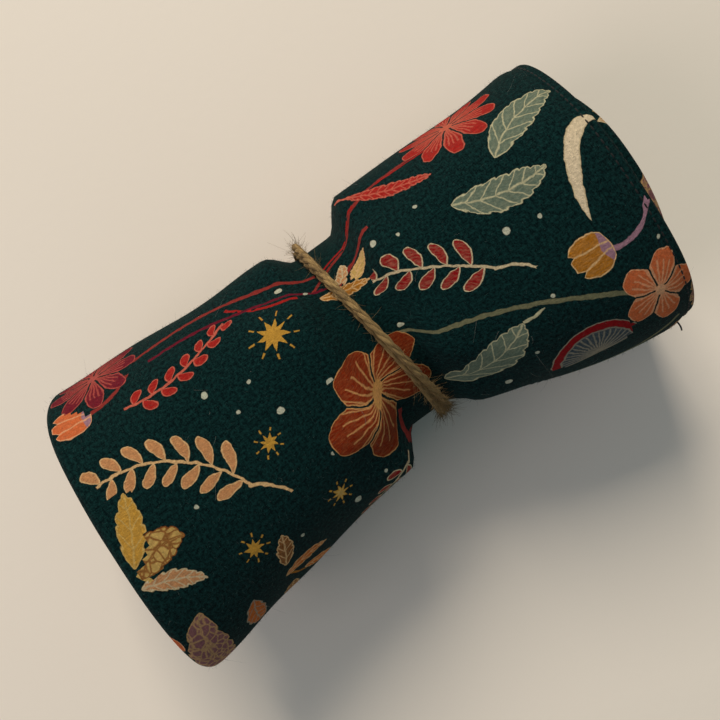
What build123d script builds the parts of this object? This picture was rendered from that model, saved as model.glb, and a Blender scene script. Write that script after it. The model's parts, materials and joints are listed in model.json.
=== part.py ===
"""Brush roll case, rolled up and tied round its middle with jute twine.

One long padded panel is rolled into a spiral whose axis lies along X.  From the outside
inwards each turn holds the printed outer panel, the padding, the lining and the turned-up
pocket.  The tie pulls the roll in to a round waist, and both ends stand wider.

Frame, in millimetres: +X along the roll towards its topstitched end, +Y across it towards
the side opposite the panel's loose edge, +Z up.  The origin is under the roll's middle, on
the surface that it rests on.
"""

import os
from math import ceil, cos, hypot, pi, radians, sin

from build123d import *

os.makedirs("parts", exist_ok=True)

# ---- overall size of the rolled and tied case ----
roll_length = 206.0
end_width = 109.0
end_height = 96.0
resting_sag = 0.6  # how far the cloth flattens where it rests

# ---- waist, where the twine pulls the roll in ----
waist_radius = 35.7
waist_x = 6.0  # the tie stands nearer to the topstitched end
waist_y = 6.8
waist_z = 48.0
groove_half_width = 7.4  # the round track that the tie lies in
shoulder_length = 9.5  # how quickly the cloth rises beside the track
quick_share = 0.43  # share of the flare that the shoulders take, round the roll
quick_share_gain = (0.03, 0.32)  # and how much more on the +Y side, towards -X and +X

# ---- the cloth, from its outer face inwards ----
outer_thickness = 1.2
padding_thickness = 3.8
lining_thickness = 0.8
pocket_thickness = 1.0
layer_clearance = 0.25
hem_thickness = 0.8
hem_width = 12.0
thread_thickness = 0.4
thread_clearance = 0.05

# ---- how the panel is cut and rolled ----
turns = 3.85
loose_edge_angle = 192.0  # degrees round the axis, from +Y over the top
turn_step = 0.235  # each turn lies this share of the radius further in
step_start = 0.08  # the cloth starts to step in this share of a turn before the loose edge
step_length = 0.22
end_squareness = 2.3
padding_inset = 4.0
padding_first_turn = 0.03
padding_taper = 0.14  # the padding thins out over this share of a turn at the loose edge
pocket_first_turn = 0.1
pocket_height = 130.0
pocket_count = 10
topstitch_inset = 3.0
thread_width = 0.6
tail_length = 5.0

# ---- the twine ----
strand_diameter = 2.7
turn_gap = 0.06
tie_clearance = 0.3
tie_lean = 4.6  # how far the tie leans along X on each side of the roll
knot_length = 9.0
knot_height = 6.0
knot_width = 8.0
knot_angle = 256.0
end_arc = 20.0  # degrees round the roll that each trimmed end covers

left_end = -roll_length / 2
right_end = roll_length / 2
pocket_mouth = left_end + pocket_height
end_half_width = end_width / 2
end_half_height = (end_height + resting_sag) / 2
end_centre_z = (end_height - resting_sag) / 2

padding_depth = outer_thickness + layer_clearance
lining_depth = padding_depth + padding_thickness + layer_clearance
pocket_depth = lining_depth + lining_thickness + layer_clearance
cloth_thickness = pocket_depth + pocket_thickness
hem_depth = cloth_thickness + thread_clearance

# Sections stand where the roll's outline changes: close beside the tie, far apart elsewhere.
shoulder_steps = [groove_half_width + share * shoulder_length for share in (0, 0.25, 0.6, 1)]
flare_middle = 0.45
points_per_turn = 16


def smooth_step(value):
    """Rise from 0 to 1 with level ends."""
    share = min(max(value, 0.0), 1.0)
    return share * share * (3 - 2 * share)


def flare(x, angle):
    """How far the outline has opened from the waist, 0, to the end, 1."""
    reach = right_end - waist_x if x > waist_x else waist_x - left_end
    beyond = max(abs(x - waist_x) - groove_half_width, 0.0)
    share = min(beyond / (reach - groove_half_width), 1.0)
    slow = sin(share * pi / 2) if x > waist_x else share
    quick = smooth_step(beyond / shoulder_length)
    gain = quick_share_gain[1] if x > waist_x else quick_share_gain[0]
    shoulder = quick_share + gain * cos(angle)
    return shoulder * quick + (1 - shoulder) * slow


def outline(x, angle):
    """Point of the roll's outer face in the section at x, as y and z."""
    round_power = 2 / end_squareness
    across = abs(cos(angle)) ** round_power * (1 if cos(angle) > 0 else -1)
    up = abs(sin(angle)) ** round_power * (1 if sin(angle) > 0 else -1)
    opened = flare(x, angle)
    waist_point = (waist_y + waist_radius * cos(angle), waist_z + waist_radius * sin(angle))
    end_point = (end_half_width * across, end_centre_z + end_half_height * up)
    return tuple(near + opened * (far - near) for near, far in zip(waist_point, end_point))


def steps_inward(turn):
    """Number of turns lying over this place: a step at each pass under the loose edge."""
    starts = [level - step_start for level in range(1, ceil(turns) + 1)]
    return sum(smooth_step((turn - start) / step_length) for start in starts)


def stations(x_from=left_end, x_to=right_end):
    """Places of the sections between two ends of a layer."""
    near = [waist_x + side * step for side in (-1, 1) for step in shoulder_steps]
    far = [end + flare_middle * (waist_x - end) for end in (left_end, right_end)]
    inner = [x for x in near + far if x_from + 1 < x < x_to - 1]
    return sorted({x_from, x_to, *inner})


def ruled_outline(x, angle):
    """The outline in straight lines from station to station, which every layer follows."""
    before = max(place for place in stations() if place <= x)
    after = min(place for place in stations() if place >= x)
    share = (x - before) / (after - before) if after > before else 0.0
    pairs = zip(outline(before, angle), outline(after, angle))
    return tuple(near + share * (far - near) for near, far in pairs)


def depth_at(turn, depth):
    """Depth below the outer face where the padding thins out towards the loose edge."""
    thinned = padding_thickness * (1 - smooth_step(turn / padding_taper))
    return depth - thinned * min(max((depth - padding_depth) / padding_thickness, 0.0), 1.0)


def cloth_point(x, turn, full_depth):
    """Point of the rolled cloth, counted in turns from its loose edge, as y and z."""
    angle = radians(loose_edge_angle - 360 * turn)
    depth = depth_at(turn, full_depth)
    y, z = ruled_outline(x, angle)
    reach = hypot(y - waist_y, z - waist_z)
    share = 1 - turn_step * steps_inward(turn) - depth / reach
    return (waist_y + share * (y - waist_y), waist_z + share * (z - waist_z))


def cloth_section(x, first_turn, last_turn, outer_depth, inner_depth):
    """Closed band of cloth in the plane at x.

    Both of its long edges are counted in turns, so that every section's edge reaches the same
    place of the cloth at the same parameter, and layers that are joined along the roll nest.
    """
    count = max(2, round((last_turn - first_turn) * points_per_turn))
    places = [first_turn + (last_turn - first_turn) * i / count for i in range(count + 1)]
    edges = [Edge.make_spline([Vector(*cloth_point(x, turn, depth)) for turn in places],
                              parameters=places) for depth in (outer_depth, inner_depth)]
    with BuildSketch(Plane.YZ.offset(x)) as section:
        with BuildLine():
            add(edges)
            Line(edges[0] @ 0, edges[1] @ 0)
            Line(edges[0] @ 1, edges[1] @ 1)
        make_face()
    return section.sketch


def layer_sections(x_from, x_to, first_turn, last_turn, outer_depth, inner_depth):
    """Sections of one rolled layer, ready to be joined along the roll."""
    return [cloth_section(x, first_turn, last_turn, outer_depth, inner_depth)
            for x in stations(x_from, x_to)]


# ---- the printed panel, flattened where it rests ----
with BuildPart() as outer_panel:
    loft(layer_sections(left_end, right_end, 0, turns, 0, outer_thickness), ruled=True)
    split(bisect_by=Plane.XY, keep=Keep.TOP)
outer_panel.part.label = "outer_panel"
export_step(outer_panel.part, "parts/outer_panel.step")

# ---- the padding, cut smaller than the panels that enclose it ----
with BuildPart() as padding:
    loft(layer_sections(left_end + padding_inset, right_end - padding_inset, padding_first_turn,
                        turns - padding_first_turn, padding_depth,
                        padding_depth + padding_thickness), ruled=True)
padding.part.label = "padding"
export_step(padding.part, "parts/padding.step")

# ---- the lining, sewn to the printed panel round its edges ----
with BuildPart() as lining_panel:
    loft(layer_sections(left_end + 1, right_end, 0, turns, lining_depth,
                        lining_depth + lining_thickness), ruled=True)
lining_panel.part.label = "lining_panel"
export_step(lining_panel.part, "parts/lining_panel.step")

# ---- the pocket, turned up over the lining from the folded end ----
with BuildPart() as pocket_panel:
    loft(layer_sections(left_end, pocket_mouth, pocket_first_turn, turns, pocket_depth,
                        cloth_thickness), ruled=True)
pocket_panel.part.label = "pocket_panel"
export_step(pocket_panel.part, "parts/pocket_panel.step")

# ---- the hem along the pocket's mouth, folded to the pocket's inner side ----
with BuildPart() as pocket_hem:
    loft(layer_sections(pocket_mouth - hem_width, pocket_mouth, pocket_first_turn, turns,
                        hem_depth, hem_depth + hem_thickness), ruled=True)
pocket_hem.part.label = "pocket_hem"
export_step(pocket_hem.part, "parts/pocket_hem.step")

# ---- rows of stitches that divide the pocket, from the folded end to the hem ----
pocket_turns = turns - pocket_first_turn
seam_places = [pocket_first_turn + pocket_turns * i / pocket_count
               for i in range(1, pocket_count)]
seam_half_turn = 0.002
seam_top = hem_depth + thread_thickness
with BuildPart() as pocket_seams:
    for place in seam_places:
        seam_sections = []
        for x in stations(left_end + 2, pocket_mouth - hem_width - 1):
            corners = [cloth_point(x, place + side * seam_half_turn, depth)
                       for side, depth in ((-1, hem_depth), (1, hem_depth),
                                           (1, seam_top), (-1, seam_top))]
            with BuildSketch(Plane.YZ.offset(x)) as seam_section:
                with BuildLine():
                    Polyline(*corners, close=True)
                make_face()
            seam_sections.append(seam_section.sketch)
        loft(seam_sections, ruled=True)
pocket_seams.part.label = "pocket_seams"
export_step(pocket_seams.part, "parts/pocket_seams.step")

# ---- the stitching along the topstitched end, one thread on each face ----
stitch_x = right_end - topstitch_inset
stitch_ends = (stitch_x - thread_width / 2, stitch_x + thread_width / 2)
lining_face = lining_depth + lining_thickness
with BuildPart() as end_topstitch:
    for outer_depth in (-thread_thickness - thread_clearance, lining_face + thread_clearance):
        loft(layer_sections(*stitch_ends, 0.01, turns - 0.01, outer_depth,
                            outer_depth + thread_thickness), ruled=True)
    split(bisect_by=Plane.XY.offset(resting_sag), keep=Keep.TOP)
end_topstitch.part.label = "end_topstitch"
export_step(end_topstitch.part, "parts/end_topstitch.step")

# ---- the thread's cut end at the panel's corner, lying against the cloth ----
tail_y, tail_z = cloth_point(stitch_x, 0.01, -thread_width / 2)
with BuildPart() as thread_tail:
    with BuildSketch(Plane((stitch_x, tail_y, tail_z), z_dir=(0, 0.15, -1))):
        Circle(thread_width / 2)
    extrude(amount=tail_length)
thread_tail.part.label = "thread_tail"
export_step(thread_tail.part, "parts/thread_tail.step")

# ---- the twine: two turns side by side, its knot and its two trimmed ends ----
lean_across = Vector(-tie_lean, waist_radius, 0).normalized()
tie_axis = Vector(lean_across.Y, -lean_across.X, 0)
tie_centre = Vector(waist_x, waist_y, waist_z)
ring_radius = (waist_radius + tie_clearance + strand_diameter / 2) / lean_across.Y
ring_plane = Plane(tie_centre, x_dir=lean_across, z_dir=tie_axis)
ring_offset = (strand_diameter + turn_gap) / 2

with BuildPart() as twine_turns:
    for side in (-1, 1):
        with Locations(ring_plane.offset(side * ring_offset)):
            Torus(ring_radius, strand_diameter / 2)
twine_turns.part.label = "twine_turns"
export_step(twine_turns.part, "parts/twine_turns.step")

knot_turn = radians(knot_angle)
knot_out = lean_across * cos(knot_turn) + Vector(0, 0, sin(knot_turn))
knot_radius = ring_radius + strand_diameter / 2 + turn_gap + knot_height / 2
with BuildPart() as twine_knot:
    with Locations(Plane(tie_centre + knot_out * knot_radius, x_dir=tie_axis, z_dir=knot_out)):
        Box(knot_width, knot_length, knot_height)
    fillet(twine_knot.edges(), knot_height * 0.45)
twine_knot.part.label = "twine_knot"
export_step(twine_knot.part, "parts/twine_knot.step")

# Each end lies round the roll on top of the turns, starting at the knot's side.
end_radius = ring_radius + strand_diameter + turn_gap
knot_reach = (knot_length / 2 + turn_gap) / end_radius * 180 / pi
with BuildPart() as twine_ends:
    for side in (-1, 1):
        start = radians(knot_angle + side * knot_reach)
        start_out = lean_across * cos(start) + Vector(0, 0, sin(start))
        with BuildSketch(Plane(tie_centre, x_dir=start_out, z_dir=tie_axis.cross(start_out))):
            with Locations((end_radius, -side * ring_offset)):
                Circle(strand_diameter / 2)
        revolve(axis=Axis(tie_centre, tie_axis * side), revolution_arc=end_arc)
twine_ends.part.label = "twine_ends"
export_step(twine_ends.part, "parts/twine_ends.step")
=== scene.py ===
"""Looks of the brush roll case: a padded roll of printed brushed cotton, tied with jute twine.

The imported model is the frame.  Lengths in the formulas are millimetres, counted in the frame's
axes, and make_piece turns them into metres.  The cloth is worked out in two coordinates: along
the roll, and in turns of the spiral counted from the panel's loose edge.
"""

import json

import bpy
import numpy as np
from mathutils import Matrix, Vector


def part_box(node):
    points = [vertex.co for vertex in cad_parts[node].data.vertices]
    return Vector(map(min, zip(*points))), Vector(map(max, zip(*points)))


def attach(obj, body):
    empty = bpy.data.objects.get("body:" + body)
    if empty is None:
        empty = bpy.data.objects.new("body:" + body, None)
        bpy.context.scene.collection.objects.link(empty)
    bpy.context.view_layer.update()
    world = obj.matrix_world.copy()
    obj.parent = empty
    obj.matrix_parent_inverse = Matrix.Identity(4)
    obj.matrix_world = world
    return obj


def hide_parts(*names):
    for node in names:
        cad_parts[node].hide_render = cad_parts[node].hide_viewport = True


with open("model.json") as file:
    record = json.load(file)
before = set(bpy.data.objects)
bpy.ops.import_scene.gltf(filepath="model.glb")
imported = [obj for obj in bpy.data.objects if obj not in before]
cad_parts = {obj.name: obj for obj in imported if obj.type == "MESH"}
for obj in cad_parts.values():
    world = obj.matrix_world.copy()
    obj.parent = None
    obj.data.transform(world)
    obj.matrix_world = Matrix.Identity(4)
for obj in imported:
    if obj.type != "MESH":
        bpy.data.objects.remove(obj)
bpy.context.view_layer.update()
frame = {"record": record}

mm = 0.001
full_turn = 2 * np.pi

# ---- sizes that come from the frame ----
panel_low, panel_high = (np.array(corner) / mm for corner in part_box("outer_panel"))
twine_low, twine_high = (np.array(corner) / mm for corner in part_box("twine_turns"))
pocket_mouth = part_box("pocket_panel")[1][0] / mm
tie_joint = frame["record"]["behaviour"]["joints"][0]
waist = np.array(tie_joint["pos_m"]) / mm
left_end, right_end = panel_low[0], panel_high[0]
end_half_width = (panel_high[1] - panel_low[1]) / 2
end_height = panel_high[2]

# ---- the cloth and the way it is rolled, as in the frame ----
outer_thickness = 1.2
padding_thickness = 3.8
lining_thickness = 0.8
pocket_thickness = 1.0
layer_clearance = 0.25
turns = 3.85
loose_edge_angle = np.radians(192)
turn_step = 0.235
step_start = 0.08
step_length = 0.22
padding_taper = 0.14
pocket_first_turn = 0.1
end_squareness = 2.3
resting_sag = 0.6
groove_half_width = 7.4
shoulder_length = 9.5
quick_share = 0.43  # of the widening that takes place in the shoulder
quick_share_gain = (0.03, 0.32)  # towards -X and towards +X
strand_diameter = 2.7
tie_clearance = 0.57
topstitch_inset = 3.0
hem_width = 12.0
pocket_count = 10

waist_radius = (twine_high[2] - twine_low[2]) / 2 - strand_diameter - tie_clearance
padding_depth = outer_thickness + layer_clearance
lining_depth = padding_depth + padding_thickness + layer_clearance
lining_face = lining_depth + lining_thickness
pocket_depth = lining_face + layer_clearance
pocket_face = pocket_depth + pocket_thickness
ridge_turn = (loose_edge_angle - np.pi / 2) / full_turn


# ======== camera, light and floor ========

camera_height = 426.0
camera_middle = (-3.3, 0.7)
picture_turn = np.radians(36)  # the roll rises to the right in the view by this angle
camera_field = np.radians(37.6)


def add_camera():
    """A camera straight above the roll, turned so that the roll rises to the right."""
    data = bpy.data.cameras.new("camera")
    data.angle = camera_field
    data.clip_start = 10 * mm
    camera = bpy.data.objects.new("camera", data)
    bpy.context.collection.objects.link(camera)
    right = (np.cos(picture_turn), -np.sin(picture_turn), 0)
    up = (np.sin(picture_turn), np.cos(picture_turn), 0)
    place = [value * mm for value in (*camera_middle, camera_height)]
    columns = np.array([right, up, (0, 0, 1), place]).T
    camera.matrix_world = Matrix([*columns.tolist(), [0, 0, 0, 1]])
    bpy.context.scene.camera = camera


def add_light(name, place, size, power, colour):
    """A square soft light that shines at the roll's middle."""
    data = bpy.data.lights.new(name, "AREA")
    data.size = size
    data.energy = power
    data.color = colour
    light = bpy.data.objects.new(name, data)
    bpy.context.collection.objects.link(light)
    away = np.array(place, float)
    back = away / np.linalg.norm(away)
    side = np.cross((0, 0, 1), back)
    side /= np.linalg.norm(side)
    columns = np.array([side, np.cross(back, side), back, away]).T
    light.matrix_world = Matrix([*columns.tolist(), [0, 0, 0, 1]])


def add_world(colour, strength):
    """Even light from all sides."""
    world = bpy.data.worlds.new("studio")
    world.use_nodes = True
    background = world.node_tree.nodes["Background"]
    background.inputs["Color"].default_value = (*colour, 1)
    background.inputs["Strength"].default_value = strength
    bpy.context.scene.world = world


add_camera()
bpy.context.scene.view_settings.view_transform = "Standard"
add_light("window", (0.38, 1.9, 1.8), 1.1, 60, (1.0, 0.88, 0.76))
add_light("fill", (-1.3, 0.1, 1.3), 1.0, 7.2, (1.0, 0.82, 0.84))
add_world((0.74, 1.0, 1.1), 0.18)


# ======== shape of the roll ========

def smooth_step(value):
    """Rise from 0 to 1 with level ends: 3 v^2 - 2 v^3."""
    share = np.clip(value, 0, 1)
    return share * share * (3 - 2 * share)


def flare(x, angle):
    """How far the outline has opened from the waist, 0, to the end, 1.

    It opens quickly beside the tie and then slowly to the end, and the quick share is largest
    on the +Y side towards +X and smallest on the -Y side.
    """
    reach = np.where(x > waist[0], right_end - waist[0], waist[0] - left_end)
    beyond = np.maximum(np.abs(x - waist[0]) - groove_half_width, 0)
    share = np.minimum(beyond / (reach - groove_half_width), 1)
    slow = np.where(x > waist[0], np.sin(share * np.pi / 2), share)
    quick = smooth_step(beyond / shoulder_length)
    gain = np.where(x > waist[0], quick_share_gain[1], quick_share_gain[0])
    shoulder = quick_share + gain * np.cos(angle)
    return shoulder * quick + (1 - shoulder) * slow


def outline(x, angle):
    """The roll's outer face as y and z: a circle at the waist that opens to a rounded oval."""
    power = 2 / end_squareness
    across = np.abs(np.cos(angle)) ** power * np.sign(np.cos(angle))
    up = np.abs(np.sin(angle)) ** power * np.sign(np.sin(angle))
    opened = flare(x, angle)
    end_y = end_half_width * across
    end_z = (end_height - resting_sag) / 2 + (end_height + resting_sag) / 2 * up
    y = waist[1] + waist_radius * np.cos(angle)
    z = waist[2] + waist_radius * np.sin(angle)
    return y + opened * (end_y - y), z + opened * (end_z - z)


def steps_inward(turn):
    """Turns of cloth that lie over this place, with a smooth step at each new turn."""
    starts = np.arange(1, int(np.ceil(turns)) + 1) - step_start
    return sum(smooth_step((turn - start) / step_length) for start in starts)


def relief(x, angle, turn):
    """How far the soft cloth stands out from the plain outline, in millimetres.

    Broad dents are products of slow sines.  Pleats are narrow gaussian ridges round the roll
    that start at the tie's track and die away along it.  Nothing is added within the track.
    The panel's corner at the folded end stands out a little, and the +Y side at the sewn
    end lies a little flatter.
    """
    beyond = np.maximum(np.abs(x - waist[0]) - groove_half_width, 0)
    dents = 0.75 * np.sin(0.047 * x + 1.7 * np.sin(2 * angle + 0.6)) * np.sin(3 * angle + 0.9)
    dents += 0.45 * np.sin(0.11 * x + 2.3 * angle + 2 * np.cos(angle)) * np.cos(5 * angle - 0.4)
    dents += 0.35 * np.sin(0.075 * x - 4 * angle + 1.1)
    pleats = 0
    side = np.where(x > waist[0], 1.0, -1.0)
    for place, width, height, on_side in pleat_list:
        gap = np.angle(np.exp(1j * (angle - np.radians(place) - 0.006 * beyond * on_side)))
        spread = np.radians(width) * (1 + beyond / 40)
        reach = np.exp(-((beyond - 7) / 17) ** 2) * (side == on_side)
        pleats = pleats + height * np.exp(-(gap / spread) ** 2) * reach
    inner = np.exp(-0.7 * np.maximum(turn - 0.9, 0))
    corner = 2.2 * smooth_step((-x - 70) / 30) * np.exp(-((angle - 3.0) / 0.45) ** 2)
    corner -= 2.0 * smooth_step((x - 25) / 60) * np.exp(-((angle - 0.5) / 0.6) ** 2)
    return smooth_step(beyond / 7) * (dents + pleats) * inner + corner * inner


# place round the roll and width in degrees, height in millimetres, and the side of the tie
pleat_list = [
    (28, 8, 1.6, -1), (47, 6, -1.6, -1), (68, 6, 1.4, -1), (98, 8, -1.5, -1),
    (122, 6, 1.9, -1), (142, 6, -2.2, -1), (160, 6, 2.0, -1), (215, 9, 1.4, -1),
    (262, 9, -1.2, -1), (318, 9, 1.3, -1), (20, 8, 1.3, 1), (39, 6, -1.5, 1),
    (62, 7, 1.3, 1), (86, 6, -1.3, 1), (112, 7, 1.6, 1), (134, 6, -1.9, 1),
    (155, 6, 1.8, 1), (205, 9, 1.5, 1), (247, 8, -1.3, 1), (300, 9, 1.2, 1),
]


def drift(turn):
    """How far the cloth has crept along X as it was rolled a little askew.

    It creeps over the first half turn, and the turns inside stand out most at their upper
    +Y side, half a turn from the loose edge.
    """
    inner = smooth_step((turn - 0.8) / 0.5)
    swing = (0.5 + 0.5 * np.cos(full_turn * (turn - 0.31))) ** 4
    return -4.0 + 5.4 * smooth_step(turn / 0.5) + inner * (4.6 * swing + 0.6 * (turn - 1.0))


def stretch(turn):
    """How much longer than cut the soft cloth lies along X: longest at its loose edge."""
    return 1 + 0.025 * (1 - smooth_step(turn / 0.28)) - 0.018 * smooth_step(turn / 0.5)


def depth_at(turn, depth):
    """Depth below the outer face where the padding thins out towards the loose edge."""
    thinned = padding_thickness * (1 - smooth_step(turn / padding_taper))
    return depth - thinned * np.clip((depth - padding_depth) / padding_thickness, 0, 1)


def cloth_points(along, turn, full_depth):
    """Points of the rolled cloth as an array of x, y and z.

    The outline's point is drawn towards the waist's axis by the turns over it and by the
    layer's depth, and then rests on the plane z = 0 where it would sink below it.
    """
    turn, along = np.broadcast_arrays(turn, along)
    angle = loose_edge_angle - full_turn * turn
    x = along * stretch(turn) + drift(turn)
    y, z = outline(x, angle)
    reach = np.hypot(y - waist[1], z - waist[2])
    depth = depth_at(turn, full_depth)
    share = 1 - turn_step * steps_inward(turn) + (relief(x, angle, turn) - depth) / reach
    y = waist[1] + share * (y - waist[1])
    z = waist[2] + share * (z - waist[2])
    floor = 0.15 + np.minimum(full_depth, 3.0)
    return np.stack([x, y, np.maximum(z, floor)], axis=-1)


# ======== meshes ========

def grid_faces(rows, columns, first=0, ring=False):
    """Quads between the points of a grid that is stored row by row; ring joins the columns."""
    row, column = np.meshgrid(np.arange(rows - 1), np.arange(columns if ring else columns - 1),
                              indexing="ij")
    following = (column + 1) % columns
    corners = [row * columns + column, (row + 1) * columns + column,
               (row + 1) * columns + following, row * columns + following]
    return np.stack(corners, axis=-1).reshape(-1, 4) + first


def facing_out(points, faces):
    """The faces, turned round if the closed mesh's signed volume is negative."""
    a, b, c, d = (points[faces[:, i]] for i in range(4))
    volume = np.sum(np.cross(a, b) * c) + np.sum(np.cross(a, c) * d)
    return faces if volume > 0 else faces[:, ::-1]


def shell(face_grid, back_grid):
    """Closed mesh between two grids of points: both grids and a strip round their rims."""
    rows, columns = face_grid.shape[:2]
    count = rows * columns
    points = np.concatenate([face_grid.reshape(-1, 3), back_grid.reshape(-1, 3)])
    index = np.arange(count).reshape(rows, columns)
    rim = np.concatenate([index[0, :-1], index[:-1, -1], index[-1, :0:-1], index[:0:-1, 0]])
    after = np.roll(rim, -1)
    strip = np.stack([rim, after, after + count, rim + count], axis=-1)
    faces = np.concatenate([grid_faces(rows, columns), strip,
                            grid_faces(rows, columns, count)[:, ::-1]])
    return points, facing_out(points, faces)


def tubes(lines, radii, up, sides):
    """Many closed round tubes at once.

    lines is an array of lines of points, radii their radii, and up a direction that isn't along
    them.  Each point carries a circle in the plane across its line, and flat caps close both
    ends.  The second result is the faces, and the third each point's place: distance along the
    line and angle round it, in turns.
    """
    count, rings = lines.shape[:2]
    tangent = np.gradient(lines, axis=1)
    side = np.cross(tangent, np.broadcast_to(up, lines.shape))
    side /= np.maximum(np.linalg.norm(side, axis=-1, keepdims=True), 1e-9)
    rise = np.cross(side, tangent)
    rise /= np.maximum(np.linalg.norm(rise, axis=-1, keepdims=True), 1e-9)
    angle = np.arange(sides) / sides * full_turn
    circle = (np.cos(angle)[:, None] * side[:, :, None] + np.sin(angle)[:, None]
              * rise[:, :, None])
    points = lines[:, :, None] + np.asarray(radii)[..., None, None] * circle
    one = grid_faces(rings, sides, ring=True)
    fan = np.array([(0, j, j + 1, j + 2) for j in range(1, sides - 2, 2)])
    one = np.concatenate([one, fan[:, ::-1], fan + (rings - 1) * sides])
    faces = (one + (np.arange(count) * rings * sides)[:, None, None]).reshape(-1, 4)
    steps = np.linalg.norm(np.diff(lines, axis=1), axis=-1)
    distance = np.concatenate([np.zeros((count, 1)), np.cumsum(steps, axis=1)], axis=1)
    surface = np.stack(np.broadcast_arrays(distance[:, :, None], angle / full_turn), axis=-1)
    points = points.reshape(-1, 3)
    return points, facing_out(points, faces), surface.reshape(-1, 2)


def make_piece(name, points, faces, material, surface=None, body="roll"):
    """A Blender object from points in millimetres and quads, with its own map in millimetres."""
    mesh = bpy.data.meshes.new(name)
    mesh.from_pydata(points * mm, [], faces.tolist())
    mesh.polygons.foreach_set("use_smooth", np.ones(len(faces), bool))
    if surface is not None:
        layer = mesh.uv_layers.new(name="cloth")
        layer.uv.foreach_set("vector", surface[faces].astype(np.float32).ravel())
    mesh.materials.append(material)
    piece = bpy.data.objects.new(name, mesh)
    bpy.context.collection.objects.link(piece)
    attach(piece, body)
    return piece


def add_attribute(piece, name, values, colour=False):
    """An attribute that each face's corners carry: three numbers each, or a colour."""
    kind = "FLOAT_COLOR" if colour else "FLOAT_VECTOR"
    layer = piece.data.attributes.new(name, kind, "CORNER")
    values = np.asarray(values, np.float32).reshape(-1, 3)
    if colour:
        values = np.concatenate([values, np.ones((len(values), 1), np.float32)], axis=1)
    layer.data.foreach_set("color" if colour else "vector", values.ravel())


# ======== nodes: arithmetic on values ========

class Signal:
    """One value in a node tree; arithmetic with it adds Math nodes to that tree."""

    def __init__(self, socket):
        self.socket = socket

    def __add__(self, other):
        return work("ADD", self, other)

    def __sub__(self, other):
        return work("SUBTRACT", self, other)

    def __rsub__(self, other):
        return work("SUBTRACT", other, self)

    def __mul__(self, other):
        return work("MULTIPLY", self, other)

    def __truediv__(self, other):
        return work("DIVIDE", self, other)

    def __pow__(self, other):
        return work("POWER", self, other)

    def __abs__(self):
        return work("ABSOLUTE", self)

    __radd__ = __add__
    __rmul__ = __mul__


def feed(socket, value):
    """Link a signal to a socket, or set the socket to a number or a colour."""
    if isinstance(value, Signal):
        value.socket.id_data.links.new(value.socket, socket)
    elif isinstance(value, tuple):
        socket.default_value = (*value, 1) if len(socket.default_value) == 4 else value
    else:
        socket.default_value = value


def work(operation, *values, clamped=False):
    """A Math node on signals and numbers."""
    tree = next(value for value in values if isinstance(value, Signal)).socket.id_data
    node = tree.nodes.new("ShaderNodeMath")
    node.operation = operation
    node.use_clamp = clamped
    for socket, value in zip(node.inputs, values):
        feed(socket, value)
    return Signal(node.outputs[0])


def lesser(first, second):
    return work("MINIMUM", first, second)


def greater(first, second):
    return work("MAXIMUM", first, second)


def within(edge, softness=0.25):
    """Mask of the places whose distance inside an edge is positive, softened over a width."""
    return work("MULTIPLY_ADD", edge, 1 / softness, 0.5, clamped=True)


def stripe(value, pitch):
    """Distance from the nearest multiple of a pitch: pitch x (1/2 - |fraction - 1/2|)."""
    return (0.5 - abs(work("FRACT", value / pitch) - 0.5)) * pitch


def blend(share, first, second):
    """The first colour where the share is 0 and the second where it is 1."""
    node = share.socket.id_data.nodes.new("ShaderNodeMix")
    node.data_type = "RGBA"
    for index, value in ((0, share), (6, first), (7, second)):
        feed(node.inputs[index], value)
    return Signal(node.outputs[2])


def read(tree, attribute):
    """An attribute of the mesh, as its node."""
    node = tree.nodes.new("ShaderNodeAttribute")
    node.attribute_name = attribute
    return node


def split_up(vector):
    """The three parts of a vector signal."""
    node = vector.socket.id_data.nodes.new("ShaderNodeSeparateXYZ")
    feed(node.inputs[0], vector)
    return [Signal(output) for output in node.outputs]


def put_together(x, y, z=0.0):
    """A vector signal of three parts."""
    tree = next(value for value in (x, y, z) if isinstance(value, Signal)).socket.id_data
    node = tree.nodes.new("ShaderNodeCombineXYZ")
    for socket, value in zip(node.inputs, (x, y, z)):
        feed(socket, value)
    return Signal(node.outputs[0])


def noise(place, scale, detail=2.0, roughness=0.5):
    """Soft noise from 0 to 1 at a place, with its scale in turns per unit of the place."""
    node = place.socket.id_data.nodes.new("ShaderNodeTexNoise")
    feed(node.inputs["Vector"], place)
    node.inputs["Scale"].default_value = scale
    node.inputs["Detail"].default_value = detail
    node.inputs["Roughness"].default_value = roughness
    return Signal(node.outputs[0])


def cloth_place(tree):
    """The piece's own map: millimetres along the roll and round it."""
    node = tree.nodes.new("ShaderNodeUVMap")
    node.uv_map = "cloth"
    return Signal(node.outputs[0])


def new_group(name, inputs, outputs):
    """An empty node group with its named inputs and outputs, and its two end nodes."""
    tree = bpy.data.node_groups.new(name, "ShaderNodeTree")
    for label, value in inputs.items():
        socket = tree.interface.new_socket(label, in_out="INPUT", socket_type="NodeSocketFloat")
        socket.default_value = value
    for label, kind in outputs.items():
        tree.interface.new_socket(label, in_out="OUTPUT", socket_type="NodeSocket" + kind)
    return tree, tree.nodes.new("NodeGroupInput"), tree.nodes.new("NodeGroupOutput")


def place_group(tree, group, **values):
    """A node that uses a group, with its inputs set."""
    node = tree.nodes.new("ShaderNodeGroup")
    node.node_tree = group
    for label, value in values.items():
        feed(node.inputs[label], value)
    return node


# ======== print: the shapes that it is drawn with ========

LEAF, SPRIG, FLOWER, STAR, DOT, CRESCENT, BUD, FAN, NETTED = range(1, 10)


def bow(share, power):
    """Rise from 0 to 1 and back along a motif: (4 u (1 - u)) ^ power."""
    return greater(share * (1 - share) * 4, 0.0) ** power


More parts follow.
